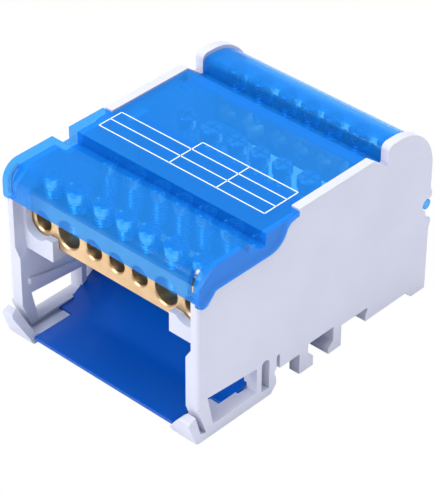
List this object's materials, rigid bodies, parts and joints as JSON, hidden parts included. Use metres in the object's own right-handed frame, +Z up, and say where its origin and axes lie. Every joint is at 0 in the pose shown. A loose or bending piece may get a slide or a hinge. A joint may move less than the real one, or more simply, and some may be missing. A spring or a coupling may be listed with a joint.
{
  "type": "power distribution block",
  "caption": "Power distribution block for a DIN rail: brass terminal bars with clamp screws between two light-grey cheeks, under hinged transparent blue covers.",
  "frame": {"origin": "centre of the bounding box's bottom face, in the plane under the feet", "axes": "+X along the bars towards the right cheek, +Y from the front wire opening to the rear one, +Z up from the rail"},
  "size_m": [0.066, 0.09, 0.0528],
  "materials": {
    "housing": "moulded polyamide, light grey, satin",
    "cover": "moulded polycarbonate, transparent blue, glossy",
    "shield": "bent blue insulating sheet, satin",
    "bar": "extruded brass, drilled",
    "screw": "zinc-plated steel"
  },
  "bodies": {
    "block": {"left_cheek": "housing", "right_cheek": "housing", "front_shield": "shield", "rear_shield": "shield", "busbar_1": "bar", "busbar_2": "bar", "busbar_3": "bar", "busbar_4": "bar", "small_screws_1": "screw", "small_screws_2": "screw", "small_screws_3": "screw", "small_screws_4": "screw", "large_screws_1": "screw", "large_screws_2": "screw", "large_screws_3": "screw", "large_screws_4": "screw"},
    "front_cover_body": {"front_cover": "cover"},
    "rear_cover_body": {"rear_cover": "cover"}
  },
  "joints": [
    {"name": "front_cover_hinge", "type": "hinge", "parent": "block", "child": "front_cover_body", "pos_m": [0, 0.019, 0.0485], "axis": [-1, 0, 0], "range_deg": [0, 100]},
    {"name": "rear_cover_hinge", "type": "hinge", "parent": "block", "child": "rear_cover_body", "pos_m": [0, 0.0432, 0.027], "axis": [-1, 0, 0], "range_deg": [0, 100]}
  ]
}
